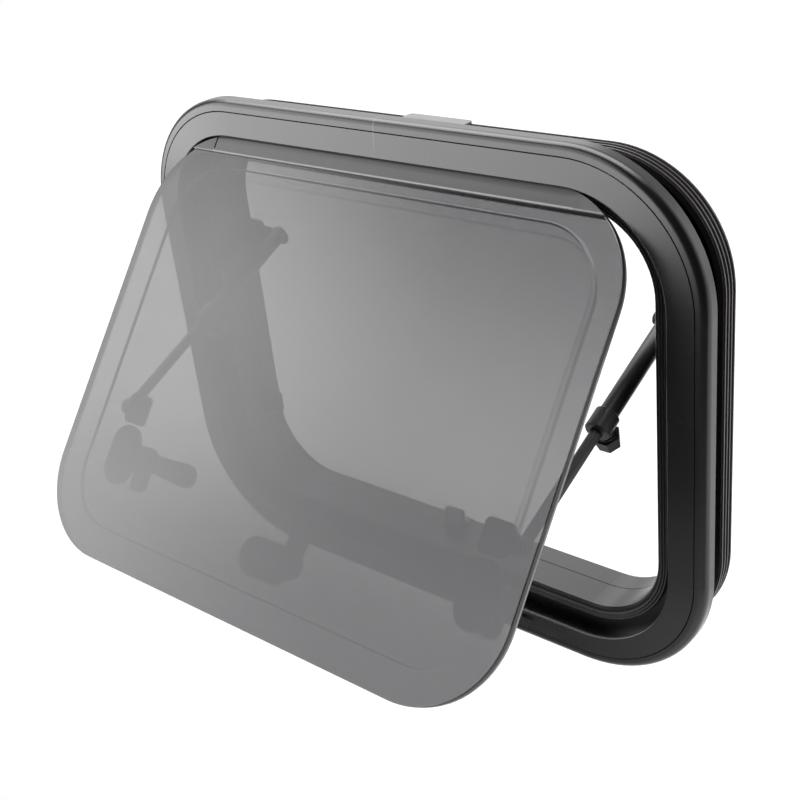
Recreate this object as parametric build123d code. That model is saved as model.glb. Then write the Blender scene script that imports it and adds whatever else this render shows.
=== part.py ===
from build123d import *
import math
import os

# Top-hung caravan window, drawn in millimetres with its pane propped open.
# X runs to the right as seen from outside, Y into the wall, Z up.
# Every piece is placed from the middle of the window; one shift at the end brings the
# origin onto the flange's sealing face, in the middle of the lower overlap.

# Opening cut in the wall, and the flange that covers its edge
cutout_width = 450.0
cutout_height = 350.0
wall_thickness = 28.0
flange_overlap = 20.0
flange_radius = 98.0
flange_width = cutout_width + 2 * flange_overlap
flange_height = cutout_height + 2 * flange_overlap

# Section of the frame: reach is measured inward from the flange's outer edge
edge_round = 5.8
edge_front = -11.6
lip_reach = 26.7
lip_front = -14.5
lip_thickness = 1.9
lip_undercut = 0.4
lip_round = 0.9
crease_reach = 8.4
crease_half = 0.45
crease_depth = 0.7
channel_reach = 22.4
floor_front = 1.5
floor_thickness = 3.0
stop_reach = 40.1
stop_width = 1.6
stop_front = 0.0
sill_reach = 43.0
sill_thickness = 2.2
sill_front = 2.0
sill_rear = 26.5
sill_round = 1.2
spigot_clearance = 1.0
spigot_thickness = 3.0
spigot_past_wall = 6.0
drain_length = 11.0
drain_width = 4.0
drain_reach = 20.5
drain_depth = 8.0
drain_x = 100.0
cut_margin = 1.0

# Clamping ring, screwed on from inside
ring_side = 9.5
ring_top = 14.0
ring_bottom = 9.5
ring_radius = 86.0
ring_rear = 45.0
ring_web = 3.5
ring_leg = 5.2
ring_joint = 0.6
ridge_count = 4
ridge_depth = 0.9
ridge_width = 2.4
ring_edge = 1.2
splice_length = 55.0
splice_depth = 12.0
splice_thickness = 1.8
splice_x = 12.0
splice_inset = 1.0
splice_corner = 3.0

# Pane: two acrylic sheets, the inner one formed to a shallow tray
side_gap = 10.0
bottom_gap = 5.0
pane_upper_radius = 68.0
pane_lower_radius = 65.0
pane_front = -8.0
outer_sheet = 4.0
inner_sheet = 2.0
tray_inset = 20.0
tray_draft = 5.5
tray_rear = 12.0
sheet_edge = 0.8
open_angle = 39.0

# Seal strip on the channel's floor
seal_clearance = 0.6
seal_play = 0.3
seal_width = 6.0
seal_groove = 1.0
seal_ridges = 3

# Hinge along the top: a bead on the pane's rail turns in a grooved rail
bead_radius = 2.6
bead_clearance = 0.3
socket_wall = 1.2
socket_short = 4.0
socket_lap = 2.0
hinge_y = -4.0
hinge_drop = 4.8
neck_thickness = 2.4
mouth_from = -40.0
mouth_to = -200.0
rail_sheet = 1.2
rail_height = 23.0
rail_fold = 0.6
rail_fold_height = 2.4
plug_length = 22.0
plug_sheet = 1.8

# Telescopic stays, one each side, above the side latches
stay_inset = 19.0
stay_above_latch = 36.0
stay_rise = 111.0
frame_pivot_y = 52.0
pane_pivot_y = 19.0
pin_radius = 2.5
pin_clearance = 0.05
pin_head = 4.5
pin_head_height = 1.8
rivet_radius = 3.5
rivet_height = 1.2
ear_radius = 7.0
side_play = 0.4
tube_play = 1.5
tube_radius = 6.5
tube_bore = 4.4
tube_top = -8.0
tube_end_round = 3.2
tube_floor = 7.0
tube_length = 94.0
collar_radius = 8.5
collar_lap = 10.0
collar_past_tube = 6.0
collar_chamfer = 1.0
collar_clearance = 0.05
rod_radius = 4.0
rod_lap = 6.0
rod_eye_radius = 6.5
rod_eye_thickness = 7.0
knob_radius = 9.4
knob_taper = 1.6
knob_boss = 6.1
knob_neck = 7.0
knob_seat = 9.6
knob_waist = 11.4
knob_tip = 21.0
bracket_plate = 3.0
bracket_half = 15.0
bracket_margin = 7.5
plate_corner = 4.0
ear_thickness = 3.0
ear_foot = 22.0
foot_lap = 2.0
pane_plate_reach = 26.0
pane_plate_half = 11.5
pane_ear_foot = 15.0

# Turn latches: one at each side and one at the bottom, alike
latch_inset = 34.0
base_length = 46.0
base_width = 28.0
base_thickness = 5.0
base_round = 2.0
boss_radius = 10.5
boss_height = 12.6
hub_radius = 10.5
hub_height = 12.0
hub_gap = 0.3
spindle_radius = 3.0
spindle_head = 5.6
spindle_head_height = 1.6
blade_thickness = 6.0
tongue_length = 25.0
tongue_width = 13.0
handle_reach = 50.0
handle_root = 6.2
handle_head = 9.0
handle_rise = 6.0
catch_reach = 15.5
catch_width = 16.0
catch_front = 26.0
catch_rear = 33.5
catch_slope = 3.0
catch_plate = 2.0
catch_plate_width = 18.0
catch_margin = 1.0
catch_plate_front = 25.4
catch_plate_rear = 43.0

# Places that follow from the sizes above
half_width = flange_width / 2
half_height = flange_height / 2
centre_z = half_height - flange_overlap / 2
sill_x = half_width - sill_reach
sill_z = half_height - sill_reach
socket_inner = bead_radius + bead_clearance
socket_outer = socket_inner + socket_wall
hinge_z = half_height - channel_reach - socket_outer
pane_top = hinge_z - hinge_drop
pane_bottom = -(half_height - lip_reach - bottom_gap)
pane_width = 2 * (half_width - lip_reach - side_gap)
pane_height = pane_top - pane_bottom
pane_middle = (pane_top + pane_bottom) / 2
pane_split = pane_front + outer_sheet
pane_rear = pane_split + inner_sheet
seal_end = stop_reach - seal_play
seal_start = seal_end - seal_width
latch_x = sill_x - latch_inset
latch_z = flange_radius - half_height + catch_plate_width / 2 + catch_margin
bottom_latch_z = latch_inset - sill_z
stay_x = sill_x - stay_inset
pane_pivot_z = latch_z + stay_above_latch
frame_pivot_z = pane_pivot_z + stay_rise
opened = Pos(0, hinge_y, hinge_z) * Rot(-open_angle, 0, 0) * Pos(0, -hinge_y, -hinge_z)


def polygon(points):
    """A flat face bounded by straight lines."""
    return make_face(Polyline(*points, close=True))


def rounded(face, corner, radius):
    """The face with the vertex nearest the given corner rounded off."""
    vertex = face.vertices().sort_by_distance((corner[0], corner[1], 0))[0]
    return fillet([vertex], radius)


def carried_round(section):
    """A section in reach and depth, carried along four straights and round four bends."""
    loop = []
    for turn in range(4):
        lying = turn % 2 == 0
        drop = half_height if lying else half_width
        run = (flange_width if lying else flange_height) - 2 * flange_radius
        start = Plane(origin=(run / 2, 0, -drop), x_dir=(0, 0, 1), z_dir=(-1, 0, 0))
        end = Plane(origin=(-run / 2, 0, -drop), x_dir=(0, 0, 1), z_dir=(-1, 0, 0))
        bend_axis = Axis((-run / 2, 0, -drop + flange_radius), (0, 1, 0))
        loop.append(Rot(0, 90 * turn, 0) * extrude(start * section, amount=run))
        loop.append(Rot(0, 90 * turn, 0) * revolve(end * section, bend_axis, 90))
    return loop[0].fuse(*loop[1:])


def slab(sketch, front, rear):
    """An outline seen from outside, given thickness from one depth to another."""
    return extrude(Plane.XZ.offset(-rear) * sketch, amount=rear - front)


def pane_outline(inset):
    """The pane's outline, drawn in by an inset."""
    shape = Rectangle(pane_width - 2 * inset, pane_height - 2 * inset)
    shape = fillet(shape.vertices().group_by(Axis.Y)[-1], pane_upper_radius - inset)
    shape = fillet(shape.vertices().group_by(Axis.Y)[0], pane_lower_radius - inset)
    return Pos(0, pane_middle) * shape


def tapered(front_sketch, front, rear_sketch, rear):
    """A solid between two outlines at two depths."""
    return loft([Plane.XZ.offset(-front) * front_sketch, Plane.XZ.offset(-rear) * rear_sketch])


def disc_x(radius, thickness):
    """A disc whose axis lies along X."""
    return Rot(0, 90, 0) * Cylinder(radius, thickness)


def rod_y(radius, front, rear):
    """A round bar along Y between two depths."""
    return slab(Circle(radius), front, rear)


def mirrored(piece):
    """The same piece for the other side of the window."""
    return mirror(piece, about=Plane.YZ)


pieces = {}

# Frame: one drawn section, bent to a rounded rectangle
face_slope = (lip_front - edge_front) / lip_reach


def face_depth(reach):
    """Depth of the flange's sloped face at a reach."""
    return edge_front + face_slope * reach


floor_rear = floor_front + floor_thickness
spigot_reach = flange_overlap + spigot_clearance
spigot_inner = spigot_reach + spigot_thickness
spigot_rear = wall_thickness + spigot_past_wall
frame_section = polygon([
    (0, 0),
    (0, edge_front),
    (crease_reach - crease_half, face_depth(crease_reach - crease_half)),
    (crease_reach, face_depth(crease_reach) + crease_depth),
    (crease_reach + crease_half, face_depth(crease_reach + crease_half)),
    (lip_reach, lip_front),
    (lip_reach, lip_front + lip_thickness),
    (channel_reach, lip_front + lip_thickness + lip_undercut),
    (channel_reach, floor_front),
    (stop_reach, floor_front),
    (stop_reach, stop_front),
    (stop_reach + stop_width, stop_front),
    (sill_reach, sill_front),
    (sill_reach, sill_rear),
    (sill_reach - sill_thickness, sill_rear),
    (sill_reach - sill_thickness, floor_rear),
    (spigot_inner, floor_rear),
    (spigot_inner, spigot_rear),
    (spigot_reach, spigot_rear),
    (spigot_reach, 0),
])
frame_section = rounded(frame_section, (0, edge_front), edge_round)
frame_section = rounded(frame_section, (lip_reach, lip_front), lip_round)
frame_section = rounded(frame_section, (sill_reach, sill_front), sill_round)
outer_frame = carried_round(frame_section)
for drain_side in (-1, 1):
    slot = Pos(drain_side * drain_x, -half_height + drain_reach) * SlotOverall(drain_length, drain_width)
    outer_frame -= slab(slot, lip_front - cut_margin, lip_front + drain_depth)
pieces["outer_frame"] = outer_frame

# Clamping ring: ridged outer edge, rear web and an inner leg that meets the frame's sill


def ring_outline(inset):
    """The ring's outer edge, drawn in by an inset; its top keeps below the flange's."""
    top = half_height - ring_top - inset
    bottom = ring_bottom - half_height + inset
    shape = RectangleRounded(2 * (half_width - ring_side - inset), top - bottom, ring_radius - inset)
    return Pos(0, (top + bottom) / 2) * shape


def sill_outline(grow):
    """The clear opening's edge, widened all round."""
    return RectangleRounded(2 * (sill_x + grow), 2 * (sill_z + grow), flange_radius - sill_reach + grow)


ring = slab(ring_outline(ridge_depth) - sill_outline(0), ring_rear - ring_web, ring_rear)
ring = fillet(ring.edges().group_by(Axis.Y)[-1], ring_edge)
ring += slab(ring_outline(ridge_depth) - ring_outline(ring_leg), wall_thickness, ring_rear - ring_web)
ring += slab(sill_outline(sill_thickness) - sill_outline(0), sill_rear + ring_joint, ring_rear - ring_web)
ridge_pitch = (ring_rear - ring_edge - wall_thickness) / ridge_count
for ridge in range(ridge_count):
    ridge_middle = wall_thickness + (ridge + 0.5) * ridge_pitch
    for step in (1, 2):
        ridge_inset = ridge_depth * (1 - step / 2)
        half = ridge_width / 2 / step
        band = ring_outline(ridge_inset) - ring_outline(ring_leg)
        ring += slab(band, ridge_middle - half, ridge_middle + half)
pieces["clamp_ring"] = ring

# Plate over the butt joint of the ring, on its upper edge
splice_seat = Plane.XY.offset(half_height - ring_top)
splice_y = ring_rear - splice_depth / 2 - splice_inset
splice_outline = Pos(splice_x, splice_y) * RectangleRounded(splice_length, splice_depth, splice_corner)
pieces["splice_plate"] = extrude(splice_seat * splice_outline, amount=splice_thickness)

# Ridged rubber strip between the channel and the stop
seal_front = pane_rear + seal_clearance
seal_pitch = seal_width / seal_ridges
seal_points = [(seal_start, floor_front)]
for ridge in range(seal_ridges):
    ridge_start = seal_start + ridge * seal_pitch
    seal_points += [
        (ridge_start, seal_front + seal_groove),
        (ridge_start + seal_pitch / 3, seal_front),
        (ridge_start + 2 * seal_pitch / 3, seal_front),
    ]
seal_points += [(seal_end, seal_front + seal_groove), (seal_end, floor_front)]
pieces["pane_seal"] = carried_round(polygon(seal_points))

# Grooved hinge rail along the top of the channel; its mouth lets the pane's neck swing
hinge_plane = Plane(origin=(0, hinge_y, hinge_z), x_dir=(0, 1, 0), z_dir=(1, 0, 0))
mouth = [(0, 0)]
for step in range(5):
    angle = math.radians(mouth_from + (mouth_to - mouth_from) * step / 4)
    mouth.append((2 * socket_outer * math.cos(angle), 2 * socket_outer * math.sin(angle)))
seat_depth = floor_front - hinge_y
seat_low = socket_inner / 2
socket_seat = Pos((seat_depth - socket_lap) / 2, (seat_low + socket_outer) / 2)
socket_seat *= Rectangle(seat_depth + socket_lap, socket_outer - seat_low)
socket_section = Circle(socket_outer) + socket_seat - Circle(socket_inner) - polygon(mouth)
socket_half = pane_width / 2 - pane_upper_radius - socket_short
pieces["hinge_socket"] = extrude(hinge_plane * socket_section, amount=socket_half, both=True)

# Pane: flat outer sheet and the formed inner sheet behind it
pane_sheet = slab(pane_outline(0), pane_front, pane_split)
pane_sheet = fillet(pane_sheet.edges().group_by(Axis.Y)[0], sheet_edge)
pieces["pane_outer_sheet"] = opened * pane_sheet
tray_outside = tapered(
    pane_outline(tray_inset), pane_rear, pane_outline(tray_inset + tray_draft), tray_rear)
tray_inside = tapered(
    pane_outline(tray_inset + inner_sheet), pane_split,
    pane_outline(tray_inset + tray_draft + inner_sheet), tray_rear - inner_sheet)
rim = slab(pane_outline(0), pane_split, pane_rear)
pieces["pane_inner_sheet"] = opened * (rim + tray_outside - tray_inside)

# Rail folded round the pane's top edge, with the bead that turns in the grooved rail.
# Its face runs on into the upper corners, where an end plug closes it.


def edge_strip(start, end, height):
    """The pane's upper edge between two places, down to a height."""
    return pane_outline(0) & Pos((start + end) / 2, pane_top) * Rectangle(end - start, 2 * height)


straight_half = pane_width / 2 - pane_upper_radius
rail_tip = straight_half + math.sqrt(rail_height * (2 * pane_upper_radius - rail_height))
rail_half = rail_tip - plug_length
rail_return = pane_top + seal_start - half_height - seal_clearance
rail_front = pane_front - rail_sheet
rail = slab(edge_strip(-rail_half, rail_half, rail_height), rail_front, pane_front)
above_fold = edge_strip(-rail_half, rail_half, rail_height - rail_fold_height)
fold = edge_strip(-rail_half, rail_half, rail_height) - above_fold
rail += slab(fold, rail_front - rail_fold, rail_front)
rail += slab(edge_strip(-straight_half, straight_half, rail_return), pane_rear, pane_rear + rail_sheet)
web = Pos(0, pane_top + rail_sheet / 2) * Rectangle(2 * straight_half, rail_sheet)
rail += slab(web, rail_front, pane_rear + rail_sheet)
neck_length = hinge_drop - rail_sheet / 2
neck = Pos(0, -neck_length / 2) * Rectangle(neck_thickness, neck_length)
bead_section = hinge_plane * (Circle(bead_radius) + neck)
pieces["hinge_rail"] = opened * (rail + extrude(bead_section, amount=straight_half, both=True))
plug = slab(edge_strip(rail_half, rail_tip, rail_height), pane_front - plug_sheet, pane_front)
pieces["right_rail_plug"] = opened * plug
pieces["left_rail_plug"] = opened * mirrored(plug)

# Stays: a tube turns on the frame's bracket, a rod slides in it to the pane's bracket
frame_pivot = Vector(stay_x, frame_pivot_y, frame_pivot_z)
pane_pivot = (opened * Pos(stay_x, pane_pivot_y, pane_pivot_z)).position
stay_length = (pane_pivot - frame_pivot).length
stay_plane = Plane(origin=frame_pivot, x_dir=(1, 0, 0), z_dir=pane_pivot - frame_pivot)


def along_stay(radius, start, end):
    """A round bar on the stay's axis."""
    return Pos(0, 0, (start + end) / 2) * Cylinder(radius, end - start)


tube = along_stay(tube_radius, tube_top, tube_length)
tube = fillet(tube.edges().group_by(Axis.Z)[0], tube_end_round)
tube -= along_stay(tube_bore, tube_floor, tube_length + cut_margin)
tube -= disc_x(pin_radius + pin_clearance, 2 * (tube_radius + cut_margin))
collar_start = tube_length - collar_lap
collar_end = tube_length + collar_past_tube
collar = along_stay(collar_radius, collar_start, collar_end)
collar = chamfer(collar.edges().filter_by(GeomType.CIRCLE), collar_chamfer)
collar_middle = (collar_start + collar_end) / 2
knob_plane = Plane(origin=(0, 0, collar_middle), x_dir=(1, 0, 0), z_dir=(0, -1, 0))
collar += extrude(knob_plane * Circle(knob_boss), amount=knob_seat)
collar -= along_stay(tube_radius + collar_clearance, 0, tube_length + collar_clearance)
collar -= along_stay(tube_bore, 0, collar_end + cut_margin)
rod = along_stay(rod_radius, tube_length - rod_lap, stay_length)
rod += Pos(0, 0, stay_length) * disc_x(rod_eye_radius, rod_eye_thickness)
rod += Pos(rod_eye_thickness / 2, 0, stay_length) * disc_x(rivet_radius, 2 * rivet_height)
knob = extrude(knob_plane.offset(knob_seat) * Circle(knob_neck), amount=knob_waist - knob_seat)
knob += loft([
    knob_plane.offset(knob_waist) * RegularPolygon(knob_radius, 6),
    knob_plane.offset(knob_tip) * RegularPolygon(knob_radius - knob_taper, 6),
])
for name, piece in (("tube", tube), ("collar", collar), ("knob", knob), ("rod", rod)):
    placed = stay_plane * piece
    pieces[f"right_stay_{name}"] = placed
    pieces[f"left_stay_{name}"] = mirrored(placed)

# Brackets on the ring's rear face: plate, ear and the pin that carries the tube
ear_inner = stay_x + tube_radius + tube_play
bracket_outer = half_width - ring_side - bracket_margin
plate_width = bracket_outer - ear_inner
plate_shape = Pos(ear_inner + plate_width / 2, frame_pivot_z)
plate_shape *= RectangleRounded(plate_width, 2 * bracket_half, plate_corner)
ear_plane = Plane(origin=(ear_inner, frame_pivot_y, frame_pivot_z), x_dir=(0, 1, 0), z_dir=(1, 0, 0))
ear_root = ring_rear - frame_pivot_y
ear_seat = Pos(ear_root + foot_lap / 2, 0) * Rectangle(foot_lap, ear_foot)
ear_shape = make_hull((Circle(ear_radius) + ear_seat).edges())
bracket = slab(plate_shape, ring_rear, ring_rear + bracket_plate)
bracket += extrude(ear_plane * ear_shape, amount=ear_thickness)
pin_length = 2 * (tube_radius + tube_play)
bracket += extrude(ear_plane * Circle(pin_radius), amount=-pin_length)
bracket += extrude(ear_plane.offset(-pin_length) * Circle(pin_head), amount=-pin_head_height)
pieces["right_stay_bracket"] = bracket
pieces["left_stay_bracket"] = mirrored(bracket)

# Brackets on the pane: the ear stands beside the rod's eye
pane_ear_outer = stay_x - rod_radius - side_play
pane_plate_inner = stay_x - pane_plate_reach
pane_plate_width = pane_ear_outer - pane_plate_inner
pane_plate = Pos(pane_plate_inner + pane_plate_width / 2, pane_pivot_z)
pane_plate *= RectangleRounded(pane_plate_width, 2 * pane_plate_half, plate_corner)
pane_ear_plane = Plane(
    origin=(pane_ear_outer, pane_pivot_y, pane_pivot_z), x_dir=(0, 1, 0), z_dir=(-1, 0, 0))
pane_ear_root = tray_rear - pane_pivot_y
pane_ear_seat = Pos(pane_ear_root + foot_lap / 2, 0) * Rectangle(foot_lap, pane_ear_foot)
pane_ear = make_hull((Circle(rod_eye_radius) + pane_ear_seat).edges())
pane_bracket = slab(pane_plate, tray_rear, tray_rear + bracket_plate)
pane_bracket += extrude(pane_ear_plane * pane_ear, amount=ear_thickness)
pane_bracket += extrude(pane_ear_plane.offset(ear_thickness) * Circle(rivet_radius), amount=rivet_height)
pieces["right_pane_bracket"] = opened * pane_bracket
pieces["left_pane_bracket"] = opened * mirrored(pane_bracket)

# Turn latch: oval base with a boss, and a lever with a tongue and a paddle handle.
# The handle points to the pane's middle and the tongue lies along its edge.
base_rear = tray_rear + base_thickness
boss_rear = base_rear + boss_height
hub_front = boss_rear + hub_gap
hub_rear = hub_front + hub_height
blade_front = hub_rear - blade_thickness
head_front = hub_rear + hub_gap
latch_base = slab(Rot(0, 0, 90) * SlotOverall(base_length, base_width), tray_rear, base_rear)
latch_base = fillet(latch_base.edges().group_by(Axis.Y)[-1], base_round)
latch_base += rod_y(boss_radius, base_rear, boss_rear)
latch_base += rod_y(spindle_radius, boss_rear, head_front)
latch_base += rod_y(spindle_head, head_front, head_front + spindle_head_height)
tongue_end = tongue_length - tongue_width / 2
tongue = make_hull((Circle(tongue_width / 2) + Pos(0, -tongue_end) * Circle(tongue_width / 2)).edges())
head_centre = handle_reach - handle_head
handle = make_hull((Circle(handle_root) + Pos(-head_centre, 0) * Circle(handle_head)).edges())
rise = Pos(0, blade_front, 0) * Rot(0, 0, -handle_rise) * Pos(0, -blade_front, 0)
lever = rod_y(hub_radius, hub_front, hub_rear)
lever += slab(tongue, blade_front, hub_rear)
lever += rise * slab(handle, blade_front, hub_rear)
lever -= rod_y(spindle_radius + pin_clearance, hub_front - cut_margin, hub_rear + cut_margin)
lever -= rod_y(spindle_head + hub_gap, hub_rear, hub_rear + handle_rise)

# Catch on the ring's inner leg: a plate and a hook with a sloped nose
catch_plane = Plane(origin=(0, 0, -catch_width / 2), x_dir=(1, 0, 0), z_dir=(0, 0, 1))
hook = polygon([
    (latch_inset, catch_front),
    (latch_inset - catch_reach, catch_front + catch_slope),
    (latch_inset - catch_reach, catch_rear),
    (latch_inset, catch_rear),
])
catch = extrude(catch_plane * hook, amount=catch_width)
catch_plate_depth = catch_plate_rear - catch_plate_front
catch += Pos(latch_inset - catch_plate / 2, (catch_plate_front + catch_plate_rear) / 2, 0) * Box(
    catch_plate, catch_plate_depth, catch_plate_width)

side_place = Pos(latch_x, 0, latch_z)
bottom_place = Pos(0, 0, bottom_latch_z) * Rot(0, 90, 0)
for name, piece in (("latch_base", latch_base), ("latch_lever", lever)):
    pieces[f"right_{name}"] = opened * side_place * piece
    pieces[f"left_{name}"] = opened * mirrored(side_place * piece)
    pieces[f"bottom_{name}"] = opened * bottom_place * piece
pieces["right_catch"] = side_place * catch
pieces["left_catch"] = mirrored(side_place * catch)
pieces["bottom_catch"] = bottom_place * catch

os.makedirs("parts", exist_ok=True)
for name, piece in pieces.items():
    export_step(Pos(0, 0, centre_z) * piece, f"parts/{name}.step")
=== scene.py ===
import math

import bmesh
import bpy
from mathutils import Matrix, Vector


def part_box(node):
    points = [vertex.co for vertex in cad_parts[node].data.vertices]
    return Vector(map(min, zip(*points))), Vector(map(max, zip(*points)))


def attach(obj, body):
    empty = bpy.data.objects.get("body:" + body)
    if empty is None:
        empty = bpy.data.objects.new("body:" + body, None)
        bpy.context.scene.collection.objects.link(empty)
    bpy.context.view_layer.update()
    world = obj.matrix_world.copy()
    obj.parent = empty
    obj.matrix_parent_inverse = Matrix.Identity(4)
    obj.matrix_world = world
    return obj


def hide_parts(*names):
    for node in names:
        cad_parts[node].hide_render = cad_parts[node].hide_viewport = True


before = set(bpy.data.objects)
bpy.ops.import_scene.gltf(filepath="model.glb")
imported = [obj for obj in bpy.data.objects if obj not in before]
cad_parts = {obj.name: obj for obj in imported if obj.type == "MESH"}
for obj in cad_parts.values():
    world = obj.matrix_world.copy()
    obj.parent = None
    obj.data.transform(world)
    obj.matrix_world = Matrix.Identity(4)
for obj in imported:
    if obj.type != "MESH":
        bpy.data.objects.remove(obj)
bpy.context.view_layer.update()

# Frame and the grooved hinge rail in it: a drawn aluminium section bent to a rounded
# rectangle, its ends butted at the middle of the top, coated in satin black.


class Wire:
    """One value in a shader. Sums on it add the Math nodes that work it out."""

    def __init__(self, tree, socket=None):
        self.tree = tree
        self.socket = socket

    def add(self, kind, settings, sockets):
        """A node of any type: its settings first, then the values or links of its sockets."""
        node = self.tree.nodes.new(kind)
        for key, value in settings.items():
            setattr(node, key, value)
        for key, value in sockets.items():
            if isinstance(value, Wire):
                self.tree.links.new(value.socket, node.inputs[key])
            else:
                node.inputs[key].default_value = value
        shown = [socket for socket in node.outputs if socket.enabled]
        return Wire(self.tree, shown[0])

    def out(self, name):
        """Another output of the same node."""
        return Wire(self.tree, self.socket.node.outputs[name])

    def math(self, operation, *values):
        """A Math node on these values."""
        return self.add("ShaderNodeMath", {"operation": operation}, dict(enumerate(values)))

    def __add__(self, other):
        return self.math("ADD", self, other)

    def __radd__(self, other):
        return self.math("ADD", other, self)

    def __sub__(self, other):
        return self.math("SUBTRACT", self, other)

    def __rsub__(self, other):
        return self.math("SUBTRACT", other, self)

    def __mul__(self, other):
        return self.math("MULTIPLY", self, other)

    def __rmul__(self, other):
        return self.math("MULTIPLY", other, self)

    def __abs__(self):
        return self.math("ABSOLUTE", self)

    def step(self, low, high):
        """0 below low, 1 above high, smooth between; low may be the larger."""
        return self.add(
            "ShaderNodeMapRange", {"interpolation_type": "SMOOTHSTEP"},
            {"Value": self, "From Min": low, "From Max": high, "To Min": 0.0, "To Max": 1.0})

    def blend(self, first, second):
        """This value as the share of the second colour in a mix of two."""
        return self.add("ShaderNodeMix", {"data_type": "RGBA"}, {0: self, 6: first, 7: second})

    def feed(self, name):
        """Leads the value to a socket of the surface."""
        self.tree.links.new(self.socket, self.tree.nodes["Principled BSDF"].inputs[name])


def finish(name, settings):
    """A new surface with its constant settings; returns it, its wires and its object coordinates."""
    material = bpy.data.materials.new(name)
    material.use_nodes = True
    surface = material.node_tree.nodes["Principled BSDF"]
    for key, value in settings.items():
        surface.inputs[key].default_value = value
    wires = Wire(material.node_tree)
    place = wires.add("ShaderNodeTexCoord", {}, {}).out("Object")
    return material, wires, place


def grain(wires, place, scale, detail=3.0):
    """Cloudy variation, 0 to 1."""
    return wires.add("ShaderNodeTexNoise", {}, {"Vector": place, "Scale": scale, "Detail": detail})


def rough_skin(wires, place, scale, strength, distance):
    """Fine relief on the surface."""
    height = grain(wires, place, scale, detail=2.0)
    bump = wires.add("ShaderNodeBump", {}, {"Height": height, "Strength": strength, "Distance": distance})
    bump.feed("Normal")


def coat(material, *names):
    """Gives CAD pieces their finish."""
    for name in names:
        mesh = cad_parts[name].data
        mesh.materials.clear()
        mesh.materials.append(material)


paint_dark = (0.002, 0.0021, 0.0021, 1.0)
paint_pale = (0.0045, 0.0046, 0.0046, 1.0)
seam_grey = (0.045, 0.045, 0.045, 1.0)
seam_x = -0.002
seam_half = 0.00035
seam_foot = 0.3535
seam_fade = 0.012
paint, wires, place = finish("frame_paint", {})
axes = wires.add("ShaderNodeSeparateXYZ", {}, {"Vector": place})
cloud = grain(wires, place, scale=9.0)
seam = abs(axes.out("X") - seam_x).step(2 * seam_half, seam_half)
seam = seam * axes.out("Z").step(seam_foot, seam_foot + seam_fade)
seam.blend(cloud.blend(paint_dark, paint_pale), seam_grey).feed("Base Color")
(0.23 + 0.08 * cloud).feed("Roughness")
rough_skin(wires, place, scale=900.0, strength=0.02, distance=0.0003)
coat(paint, "outer_frame", "hinge_socket")

# Clamping ring: moulded black plastic with a ribbed edge, drawn up to the frame by
# pan-head screws through its rear web.
ring_dark = (0.012, 0.01, 0.0098, 1.0)
ring_pale = (0.022, 0.0185, 0.018, 1.0)
ring_plastic, wires, place = finish("ring_plastic", {})
cloud = grain(wires, place, scale=14.0)
cloud.blend(ring_dark, ring_pale).feed("Base Color")
(0.27 + 0.14 * cloud).feed("Roughness")
rough_skin(wires, place, scale=1400.0, strength=0.12, distance=0.0004)
coat(ring_plastic, "clamp_ring")

steel_dark = (0.3, 0.3, 0.31, 1.0)
steel_pale = (0.46, 0.46, 0.47, 1.0)
screw_steel, wires, place = finish("screw_steel", {"Metallic": 1.0})
cloud = grain(wires, place, scale=300.0)
cloud.blend(steel_dark, steel_pale).feed("Base Color")
(0.28 + 0.2 * cloud).feed("Roughness")

screw_turns = 28
screw_rise = 0.5
# The head from the floor of its drive out to its rim, in shares of its radius and its height.
screw_profile = [
    (0.0, 0.35), (0.36, 0.35), (0.42, 0.98), (0.7, 0.92), (0.93, 0.6), (1.0, 0.2), (1.0, -0.1)]


def screw(name, seat, outward, radius, body):
    """A pan-head screw with a hollow drive, its underside on the seat."""
    height = screw_rise * radius
    mesh = bpy.data.meshes.new(name)
    shape = bmesh.new()
    rings = []
    for share, rise in screw_profile:
        ring = []
        for turn in range(screw_turns if share else 1):
            angle = 2 * math.pi * turn / screw_turns
            ring.append(shape.verts.new((
                share * radius * math.cos(angle), share * radius * math.sin(angle), rise * height)))
        rings.append(ring)
    for turn in range(screw_turns):
        after = (turn + 1) % screw_turns
        shape.faces.new((rings[0][0], rings[1][turn], rings[1][after]))
        for inner, outer in zip(rings[1:-1], rings[2:]):
            shape.faces.new((inner[turn], outer[turn], outer[after], inner[after]))
    shape.faces.new(reversed(rings[-1]))
    bmesh.ops.recalc_face_normals(shape, faces=shape.faces)
    shape.to_mesh(mesh)
    shape.free()
    for face in mesh.polygons:
        face.use_smooth = len(face.vertices) == 4
    mesh.materials.append(screw_steel)
    piece = bpy.data.objects.new(name, mesh)
    bpy.context.scene.collection.objects.link(piece)
    lean = Vector((0, 0, 1)).rotation_difference(Vector(outward)).to_matrix().to_4x4()
    piece.matrix_world = Matrix.Translation(seat) @ lean
    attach(piece, body)


ring_low, ring_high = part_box("clamp_ring")
rearward = (0, 1, 0)
web_middle = 0.019
ring_screw_radius = 0.0034
long_side_pitch = 0.105
short_side_drop = 0.06
short_side_rise = 0.012
corner_pull = 0.024
screw_x = ring_high.x - web_middle
screw_low = ring_low.z + web_middle
screw_high = ring_high.z - web_middle
ring_middle = (screw_low + screw_high) / 2
ring_screws = [(x, z) for x in (-long_side_pitch, 0.0, long_side_pitch) for z in (screw_low, screw_high)]
ring_screws += [
    (side * screw_x, z)
    for side in (-1, 1) for z in (ring_middle - short_side_drop, ring_middle + short_side_rise)]
ring_screws += [
    (side * (screw_x - corner_pull), z)
    for side in (-1, 1) for z in (screw_low + corner_pull, screw_high - corner_pull)]
for count, (x, z) in enumerate(ring_screws):
    screw(f"ring_screw_{count}", (x, ring_high.y, z), rearward, ring_screw_radius, "frame")

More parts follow.
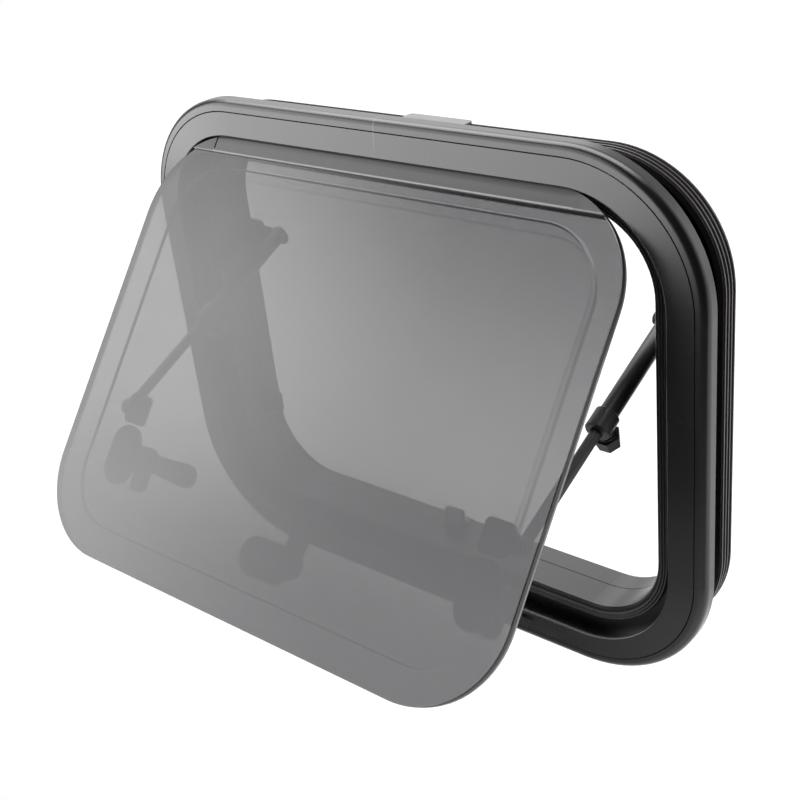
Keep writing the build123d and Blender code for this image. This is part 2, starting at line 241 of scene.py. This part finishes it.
# Plate over the butt joint of the ring: a small moulding of grey plastic,
# pressed onto the ring's upper edge.
splice_dark = (0.1, 0.1, 0.1, 1.0)
splice_pale = (0.17, 0.17, 0.17, 1.0)
splice_grey, wires, place = finish("splice_grey", {})
cloud = grain(wires, place, scale=60.0)
cloud.blend(splice_dark, splice_pale).feed("Base Color")
(0.42 + 0.2 * cloud).feed("Roughness")
coat(splice_grey, "splice_plate")

# Seal: a ridged strip of soft black rubber, stuck to the floor of the frame's channel.
# The pane closes on it.
rubber_dark = (0.009, 0.009, 0.0093, 1.0)
rubber_pale = (0.018, 0.018, 0.0185, 1.0)
seal_rubber, wires, place = finish("seal_rubber", {})
cloud = grain(wires, place, scale=40.0)
cloud.blend(rubber_dark, rubber_pale).feed("Base Color")
(0.6 + 0.25 * cloud).feed("Roughness")
rough_skin(wires, place, scale=700.0, strength=0.2, distance=0.0005)
coat(seal_rubber, "pane_seal")

# Pane: two smoked acrylic sheets joined at their rims, the outer one flat, the inner one formed
# to a shallow tray. The smoke is made denser toward the lower edge as painted shade for the shadow
# seen through the pane's lower part, a darker band is painted just under the hinge rail, the cut
# edges are dull, and fine wiping marks lie on the outside.
pane_slope = math.radians(39.0)
pane_hinge = Vector((0.0, -0.004, 0.3535))
outward = Vector((0.0, -math.cos(pane_slope), math.sin(pane_slope)))
inward = -outward
downward = Vector((0.0, -math.sin(pane_slope), -math.cos(pane_slope)))


def from_hinge(wires, place, direction):
    """How far a point lies from the hinge line in one of the pane's directions."""
    away = wires.add("ShaderNodeVectorMath", {"operation": "SUBTRACT"}, {0: place, 1: pane_hinge})
    reach = wires.add("ShaderNodeVectorMath", {"operation": "DOT_PRODUCT"}, {0: away, 1: direction})
    return reach.out("Value")


def squareness(wires, place):
    """1 where a face lies flat in the pane, 0 where it stands on edge."""
    turned = wires.add(
        "ShaderNodeVectorMath", {"operation": "DOT_PRODUCT"}, {0: place.out("Normal"), 1: outward})
    return abs(turned.out("Value"))


on_edge = 0.5
lying_flat = 0.7
rail_foot = 0.0183
under_rail_start = rail_foot + 0.0022
under_rail_end = rail_foot + 0.0032
shade_fall_start = 0.18
shade_fall_end = 0.3
front_start = -0.001
front_end = -0.003
smoke = 0.8
under_rail_smoke = 0.16
painted_shade_smoke = 0.14
outer_dark = (0.016, 0.015, 0.018, 1.0)
outer_pale = (0.024, 0.023, 0.026, 1.0)
under_rail_black = (0.003, 0.003, 0.003, 1.0)
rim_black = (0.008, 0.008, 0.008, 1.0)
smoked, wires, place = finish("smoked_acrylic", {"IOR": 1.49, "Specular IOR Level": 0.56})
depth = from_hinge(wires, place, inward)
fall = from_hinge(wires, place, downward)
square = squareness(wires, place)
cloud = grain(wires, place, scale=7.0)
wiped = wires.add(
    "ShaderNodeMapping", {},
    {"Vector": place, "Rotation": (0.0, 0.0, 0.6), "Scale": (30.0, 260.0, 60.0)})
wipes = grain(wires, wiped, scale=1.0, detail=4.0)
rim = square.step(lying_flat, on_edge)
# A darker, less see-through band is painted just under the hinge rail's foot.
under_rail = fall.step(under_rail_end, under_rail_start)
skin = under_rail.blend(cloud.blend(outer_dark, outer_pale), under_rail_black)
rim.blend(skin, rim_black).feed("Base Color")
(0.05 + 0.05 * wipes + 0.45 * rim).feed("Roughness")
front = depth.step(front_start, front_end)
# The tint grows denser toward the lower edge: painted shade for the shadow seen through the pane's lower
# part.
tint = smoke + 0.04 * cloud + under_rail_smoke * under_rail + painted_shade_smoke * fall.step(shade_fall_start, shade_fall_end)
(rim + (1 - rim) * front * tint).feed("Alpha")
coat(smoked, "pane_outer_sheet")

inner_dark = (0.02, 0.02, 0.021, 1.0)
inner_pale = (0.03, 0.03, 0.031, 1.0)
inner_edge = (0.2, 0.2, 0.2, 1.0)
tray_start = 0.0146
tray_end = 0.0154
rim_start = 0.0004
rim_end = 0.0014
wall_start = 0.004
wall_end = 0.006
edge_start = 0.0021
edge_end = 0.0026
face_smoke = 0.34
wall_smoke = 0.22
clear, wires, place = finish("clear_acrylic", {"IOR": 1.49})
depth = from_hinge(wires, place, inward)
square = squareness(wires, place)
cloud = grain(wires, place, scale=9.0)
tray_back = depth.step(tray_start, tray_end)
rim_back = depth.step(rim_start, rim_end) * depth.step(wall_end, wall_start)
flat = square.step(on_edge, lying_flat)
edge = depth.step(edge_end, edge_start)
((1 - flat) * edge).blend(cloud.blend(inner_dark, inner_pale), inner_edge).feed("Base Color")
(0.05 + 0.06 * cloud).feed("Roughness")
faces = flat * (tray_back + rim_back) * (face_smoke + 0.04 * cloud)
walls = (1 - flat) * (wall_smoke + (1 - wall_smoke) * edge)
(faces + walls).feed("Alpha")
coat(clear, "pane_inner_sheet")

# Hinge rail along the pane's top: a folded strip of dull grey aluminium with drawing lines
# along it and a painted highlight along the fold at its foot; grey moulded plugs close its ends,
# with the same painted highlight at their foot. Rail and plugs are the solids cut lower, and so
# the plugs end sooner round the pane's corners.
solid_foot = 0.0278
strip_middle = 0.02
corner_radius = 0.068
rounding = 0.0002
rail_cut = solid_foot - rail_foot
corner_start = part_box("pane_outer_sheet")[1].x - corner_radius
rail_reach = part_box("hinge_rail")[1].x - corner_start
plug_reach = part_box("right_rail_plug")[1].x - corner_start


def corner_fall(past):
    """How far the pane's top edge has come down at a distance past the start of its corner."""
    return corner_radius - math.sqrt(corner_radius ** 2 - past ** 2)


foot_height = corner_fall(plug_reach) - rail_cut
plug_shift = plug_reach - math.sqrt(foot_height * (2 * corner_radius - foot_height))


def lower_strip(name, node, material):
    """A copy of a solid of the rail with its foot raised and its ends drawn in along the pane's corner."""
    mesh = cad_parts[node].data.copy()
    mesh.name = name
    for vertex in mesh.vertices:
        past = max(abs(vertex.co.x) - corner_start, 0.0)
        nearer = past - plug_shift * min(past / rail_reach, 1.0)
        fall_here = (vertex.co - pane_hinge).dot(downward)
        at_foot = fall_here > strip_middle and past < rail_reach + rounding
        rise = rail_cut if at_foot else corner_fall(past) - corner_fall(nearer)
        vertex.co.x -= math.copysign(past - nearer, vertex.co.x)
        vertex.co -= rise * downward
    mesh.materials.clear()
    mesh.materials.append(material)
    piece = bpy.data.objects.new(name, mesh)
    bpy.context.scene.collection.objects.link(piece)
    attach(piece, "pane")
    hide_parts(node)


drawn_dark = (0.035, 0.036, 0.036, 1.0)
drawn_pale = (0.055, 0.056, 0.055, 1.0)
rail_fold_highlight = (0.18, 0.18, 0.177, 1.0)
rail_highlight_start = rail_foot - 0.0012
rail_highlight_end = rail_foot - 0.0009
rail_metal, wires, place = finish("hinge_aluminium", {})
drawn_out = wires.add("ShaderNodeMapping", {}, {"Vector": place, "Scale": (3.0, 900.0, 900.0)})
lines = grain(wires, drawn_out, scale=1.0, detail=4.0)
# The fold at the rail's foot is painted lighter: a painted highlight.
fold_highlight = from_hinge(wires, place, downward).step(rail_highlight_start, rail_highlight_end)
fold_highlight.blend(lines.blend(drawn_dark, drawn_pale), rail_fold_highlight).feed("Base Color")
(0.26 + 0.12 * lines).feed("Roughness")
lower_strip("folded_rail", "hinge_rail", rail_metal)

plug_dark = (0.03, 0.031, 0.03, 1.0)
plug_pale = (0.05, 0.052, 0.05, 1.0)
plug_fold_highlight = (0.13, 0.13, 0.127, 1.0)
plug_highlight_start = rail_foot - 0.001
plug_highlight_end = rail_foot - 0.0007
plug_plastic, wires, place = finish("plug_plastic", {})
cloud = grain(wires, place, scale=120.0)
# The plugs' foot is painted lighter too: a painted highlight along the fold.
fold_highlight = from_hinge(wires, place, downward).step(plug_highlight_start, plug_highlight_end)
fold_highlight.blend(cloud.blend(plug_dark, plug_pale), plug_fold_highlight).feed("Base Color")
(0.3 + 0.15 * cloud).feed("Roughness")
lower_strip("left_end_plug", "left_rail_plug", plug_plastic)
lower_strip("right_end_plug", "right_rail_plug", plug_plastic)

# Stays: black coated tubes that turn on brackets screwed to the ring, with rods that slide in
# them to brackets screwed to the pane, held by hexagonal clamp knobs on moulded collars.
stay_dark = (0.012, 0.012, 0.0125, 1.0)
stay_pale = (0.022, 0.022, 0.0225, 1.0)
stay_paint, wires, place = finish("stay_paint", {})
cloud = grain(wires, place, scale=70.0)
cloud.blend(stay_dark, stay_pale).feed("Base Color")
(0.3 + 0.15 * cloud).feed("Roughness")
rough_skin(wires, place, scale=1200.0, strength=0.06, distance=0.0003)

knob_dark = (0.014, 0.0115, 0.0115, 1.0)
knob_pale = (0.026, 0.022, 0.022, 1.0)
knob_plastic, wires, place = finish("knob_plastic", {})
cloud = grain(wires, place, scale=90.0)
cloud.blend(knob_dark, knob_pale).feed("Base Color")
(0.34 + 0.14 * cloud).feed("Roughness")


def on_pane(x, fall, depth):
    """A point by its place across the pane, its distance down it and its depth behind the hinge line."""
    return pane_hinge + Vector((x, 0, 0)) + fall * downward + depth * inward


ring_plate = 0.003
ring_plate_rear = ring_high.y + ring_plate
ring_plate_inset = 0.011
ring_plate_margin = 0.007
ring_plate_screw = 0.003
pane_plate_x = 0.165
pane_plate_fall = 0.2195
pane_plate_rear = 0.019
pane_plate_reach = 0.0065
pane_plate_screw = 0.0025
for side, name in ((-1, "left"), (1, "right")):
    coat(stay_paint, f"{name}_stay_tube", f"{name}_stay_rod")
    coat(stay_paint, f"{name}_stay_bracket", f"{name}_pane_bracket")
    coat(knob_plastic, f"{name}_stay_collar", f"{name}_stay_knob")
    low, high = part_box(f"{name}_stay_bracket")
    bracket_outside = high.x if side == 1 else low.x
    for count, height in enumerate((low.z + ring_plate_margin, high.z - ring_plate_margin)):
        seat = (bracket_outside - side * ring_plate_inset, ring_plate_rear, height)
        screw(f"{name}_bracket_screw_{count}", seat, rearward, ring_plate_screw, "frame")
    for share in (-1, 1):
        reach = share * pane_plate_reach
        seat = on_pane(side * pane_plate_x, pane_plate_fall + reach, pane_plate_rear)
        screw(f"{name}_pane_screw_{share}", seat, inward, pane_plate_screw, "pane")

# Turn latches and their catches: moulded black plastic, three alike, the bases screwed to
# the inner sheet and the catches to the ring.
latch_dark = (0.013, 0.013, 0.0135, 1.0)
latch_pale = (0.026, 0.026, 0.027, 1.0)
latch_plastic, wires, place = finish("latch_plastic", {})
cloud = grain(wires, place, scale=110.0)
cloud.blend(latch_dark, latch_pale).feed("Base Color")
(0.38 + 0.18 * cloud).feed("Roughness")
rough_skin(wires, place, scale=1500.0, strength=0.1, distance=0.0003)
for where in ("left", "right", "bottom"):
    coat(latch_plastic, f"{where}_latch_base", f"{where}_latch_lever", f"{where}_catch")

base_rear = 0.021
base_screw_reach = 0.0158
base_screw = 0.0027
side_latch_x = 0.168
side_latch_fall = 0.2555
bottom_latch_fall = 0.2865
for share in (-1, 1):
    reach = share * base_screw_reach
    for side, name in ((-1, "left"), (1, "right")):
        seat = on_pane(side * side_latch_x, side_latch_fall + reach, base_rear)
        screw(f"{name}_latch_screw_{share}", seat, inward, base_screw, "pane")
    seat = on_pane(reach, bottom_latch_fall, base_rear)
    screw(f"bottom_latch_screw_{share}", seat, inward, base_screw, "pane")

catch_plate = 0.002
catch_screw_y = 0.0385
catch_screw_reach = 0.005
catch_screw = 0.0021
for share in (-1, 1):
    reach = share * catch_screw_reach
    for side, name in ((-1, "left"), (1, "right")):
        low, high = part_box(f"{name}_catch")
        plate_face = high.x - catch_plate if side == 1 else low.x + catch_plate
        seat = (plate_face, catch_screw_y, (low.z + high.z) / 2 + reach)
        screw(f"{name}_catch_screw_{share}", seat, (-side, 0, 0), catch_screw, "frame")
    low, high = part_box("bottom_catch")
    seat = (reach, catch_screw_y, low.z + catch_plate)
    screw(f"bottom_catch_screw_{share}", seat, (0, 0, 1), catch_screw, "frame")

# Studio: a pale floor well below the window and white all round. A large soft light stands front
# left, a strip hangs overhead, two fainter lights stand behind and a pale glow comes from below.
# The camera is at the photograph's place.
floor_half = 3.0
floor_front = -0.15
floor_back = 6.0
floor_z = -0.3
floor_dark = (0.6, 0.6, 0.6, 1.0)
floor_pale = (0.64, 0.64, 0.64, 1.0)
floor_shade = (0.25, 0.25, 0.25, 1.0)
floor_glow = (0.65, 0.65, 0.65, 1.0)
black = (0.0, 0.0, 0.0, 1.0)
white = (1.0, 1.0, 1.0, 1.0)
floor_mesh = bpy.data.meshes.new("floor")
floor_mesh.from_pydata(
    [(-floor_half, floor_front, floor_z), (floor_half, floor_front, floor_z),
     (floor_half, floor_back, floor_z), (-floor_half, floor_back, floor_z)], [], [(0, 1, 2, 3)])
floor = bpy.data.objects.new("floor", floor_mesh)
bpy.context.scene.collection.objects.link(floor)
floor_white, wires, place = finish(
    "floor_white", {"Roughness": 0.9, "Specular IOR Level": 0.0, "Emission Strength": 1.0})
cloud = grain(wires, place, scale=2.0)
shown = wires.add("ShaderNodeLightPath", {}, {}).out("Is Camera Ray")
shown.blend(cloud.blend(floor_dark, floor_pale), floor_shade).feed("Base Color")
shown.blend(black, floor_glow).feed("Emission Color")
floor_mesh.materials.append(floor_white)

world = bpy.data.worlds.new("studio")
bpy.context.scene.world = world
world.use_nodes = True
studio = Wire(world.node_tree)
direction = studio.add("ShaderNodeTexCoord", {}, {}).out("Generated")
toward = studio.add("ShaderNodeSeparateXYZ", {}, {"Vector": direction})
across = toward.out("X")
along = toward.out("Y")
up = toward.out("Z")

# Each light is a patch of the surroundings with soft edges, set by how far across, along and up it lies.
front_level = 6.5
front_drop = 3.4
left_level = 0.8
left_rise = 1.5
front_box = up.step(-0.36, -0.17) * along.step(-0.2, -0.4) * across.step(0.0, -0.3)
box_top = (up + 0.5 * along).step(0.46, 0.24)
higher = up.step(0.0, 0.35)
far_left = up.step(0.72, 0.58) * across.step(-0.58, -0.73)
left_light = far_left * (left_level + left_rise * higher * along.step(-0.68, -0.55))
front_light = front_box * (box_top * (front_level - front_drop * higher) + left_light)

strip_level = 8.0
strip = up.step(0.55, 0.72) * along.step(-0.34, -0.2) * along.step(0.45, 0.3)
strip = strip * across.step(0.4, 0.1) * across.step(-0.95, -0.8)

rear_left_level = 1.5
rear_left = up.step(0.2, 0.35) * along.step(0.3, 0.5) * across.step(-0.25, -0.45)
rear_right = across.step(0.3, 0.5) * along.step(0.3, 0.6) * up.step(-0.15, 0.05)
glow_level = 1.2
glow = up.step(-0.5, -0.65) * across.step(-0.5, -0.1)

all_round = 0.04
backdrop_level = 0.8
backdrop_in_gloss = 0.2
path = studio.add("ShaderNodeLightPath", {}, {})
backdrop = along.step(-0.1, 0.3) * (backdrop_level + backdrop_in_gloss * path.out("Is Glossy Ray"))
light = all_round + front_light + strip_level * strip + rear_left_level * rear_left + rear_right
light = light + glow_level * glow + backdrop
seen = path.math("MAXIMUM", path.out("Is Camera Ray"), path.out("Is Transmission Ray"))
strength = seen + (1 - seen) * light
background = world.node_tree.nodes["Background"]
background.inputs["Color"].default_value = white
world.node_tree.links.new(strength.socket, background.inputs["Strength"])

camera_place = Vector((0.573097, -0.638934, 0.610587))
camera_right = Vector((0.765672, 0.635093, -0.101998))
camera_up = Vector((-0.226456, 0.414572, 0.88139))
camera_back = Vector((0.60205, -0.651757, 0.461247))
camera_data = bpy.data.cameras.new("camera")
camera_data.sensor_fit = "HORIZONTAL"
camera_data.sensor_width = 36.0
camera_data.lens = 58.174
camera = bpy.data.objects.new("camera", camera_data)
bpy.context.scene.collection.objects.link(camera)
camera_turn = Matrix((camera_right, camera_up, camera_back)).transposed().to_4x4()
camera.matrix_world = Matrix.Translation(camera_place) @ camera_turn
bpy.context.scene.camera = camera
bpy.context.scene.view_settings.view_transform = "Standard"
